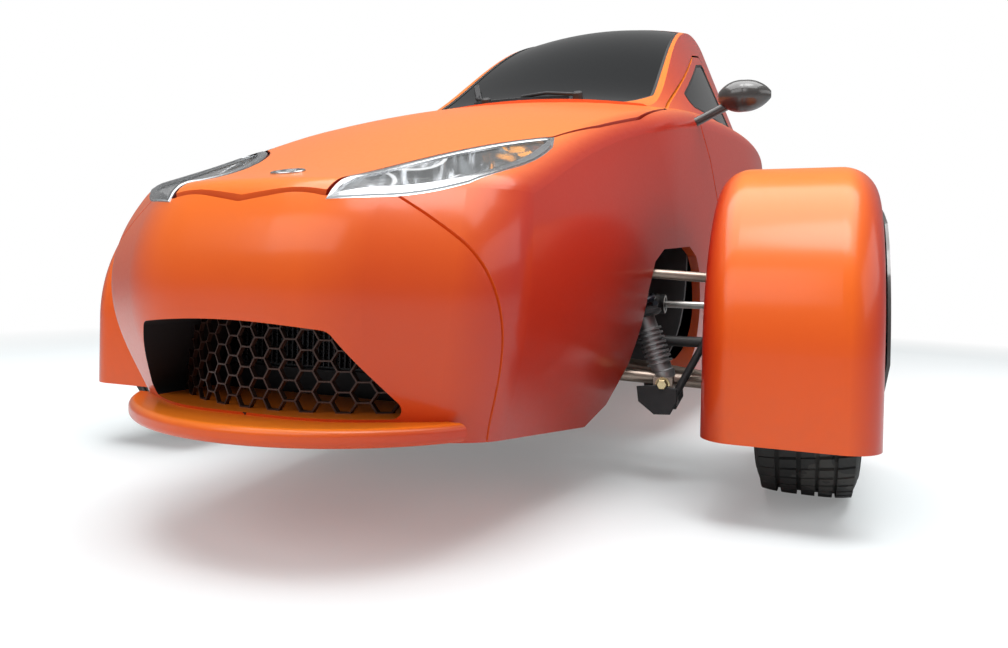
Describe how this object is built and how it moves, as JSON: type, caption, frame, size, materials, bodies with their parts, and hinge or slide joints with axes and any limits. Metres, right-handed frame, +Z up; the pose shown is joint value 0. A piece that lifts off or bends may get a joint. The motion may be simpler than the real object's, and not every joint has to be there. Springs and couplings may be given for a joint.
{
  "type": "three wheeled car",
  "caption": "Narrow closed body with a honeycomb grille on exposed wishbones, a faired wheel out to each side at the front and a single wheel under the tapered tail.",
  "frame": {"origin": "middle of the bounding box on the floor", "axes": "+Z up, the front faces -Y, the car's left is +X, metres"},
  "size_m": [1.697, 4.0769, 1.3769],
  "materials": {
    "orange": "gloss orange paint",
    "grey_panel": "dark warm grey",
    "black": "black plastic",
    "steel": "bare steel tube",
    "frame_black": "black paint",
    "alloy": "cast alloy",
    "chrome": "bright",
    "bezel": "satin silver",
    "glass": "clear",
    "lamp_glass": "clear",
    "red_glass": "red lens",
    "tyre": "black rubber",
    "fabric": "dark cloth",
    "iron": "raw"
  },
  "bodies": {
    "chassis": {"nose_panel": "orange", "left_front_panel": "orange", "right_front_panel": "orange", "floor_tub": "orange", "right_side_panel": "orange", "tail_panel": "orange", "cabin_frame": "orange", "windscreen": "glass", "right_window": "glass", "headlamp_bezels": "bezel", "headlamp_lenses": "lamp_glass", "headlamp_cups": "chrome", "grille_mesh": "black", "radiator": "alloy", "front_subframe": "frame_black", "engine_block": "iron", "control_arms": "steel", "coil_overs": "frame_black", "half_shafts": "steel", "rear_swing_arm": "frame_black", "bulkheads": "black", "dashboard": "black", "steering_wheel": "black", "front_seat": "fabric", "rear_seat": "fabric", "tail_lamps": "red_glass", "left_mirror": "grey_panel", "wipers": "black"},
    "hood": {"hood_panel": "orange"},
    "door": {"door_shell": "orange", "door_window": "glass"},
    "hatch": {"hatch_panel": "orange", "hatch_window": "glass"},
    "rack": {"steering_rack_bar": "steel"},
    "left_upright": {"left_knuckle": "alloy", "left_wheel_pod": "orange", "left_pod_side_panel": "grey_panel"},
    "right_upright": {"right_knuckle": "alloy", "right_wheel_pod": "orange", "right_pod_side_panel": "grey_panel"},
    "left_wheel": {"front_left_tyre": "tyre", "front_left_rim": "alloy"},
    "right_wheel": {"front_right_tyre": "tyre", "front_right_rim": "alloy"},
    "back_wheel": {"rear_tyre": "tyre", "rear_rim": "alloy"}
  },
  "joints": [
    {"name": "left_steer", "type": "hinge", "parent": "chassis", "child": "left_upright", "pos_m": [0.66, -1.1865, 0.283], "axis": [0, 0, 1], "range_deg": [-22, 22]},
    {"name": "right_steer", "type": "hinge", "parent": "chassis", "child": "right_upright", "pos_m": [-0.66, -1.1865, 0.283], "axis": [0, 0, 1], "range_deg": [-22.5, 22.5]},
    {"name": "rack_slide", "type": "slide", "parent": "chassis", "child": "rack", "axis": [1, 0, 0], "range_m": [-0.045, 0.045]},
    {"name": "left_wheel_spin", "type": "hinge", "parent": "left_upright", "child": "left_wheel", "pos_m": [0.726, -1.1865, 0.283], "axis": [1, 0, 0], "continuous": true},
    {"name": "right_wheel_spin", "type": "hinge", "parent": "right_upright", "child": "right_wheel", "pos_m": [-0.726, -1.1865, 0.283], "axis": [1, 0, 0], "continuous": true},
    {"name": "rear_wheel_spin", "type": "hinge", "parent": "chassis", "child": "back_wheel", "pos_m": [0, 1.6075, 0.3], "axis": [1, 0, 0], "continuous": true},
    {"name": "hood_hinge", "type": "hinge", "parent": "chassis", "child": "hood", "pos_m": [0, -0.9825, 0.876], "axis": [-1, 0, 0], "range_deg": [0, 55]},
    {"name": "door_hinge", "type": "hinge", "parent": "chassis", "child": "door", "pos_m": [0.504, -0.8265, 0.62], "axis": [0, 0, -1], "range_deg": [0, 62]},
    {"name": "hatch_hinge", "type": "hinge", "parent": "chassis", "child": "hatch", "pos_m": [0, 0.8105, 1.352], "axis": [1, 0, 0], "range_deg": [0, 60]}
  ],
  "couplings": [
    {"joint": "right_steer", "follows": "left_steer", "ratio": 1},
    {"joint": "rack_slide", "follows": "left_steer", "m_per_rad": -0.116}
  ]
}
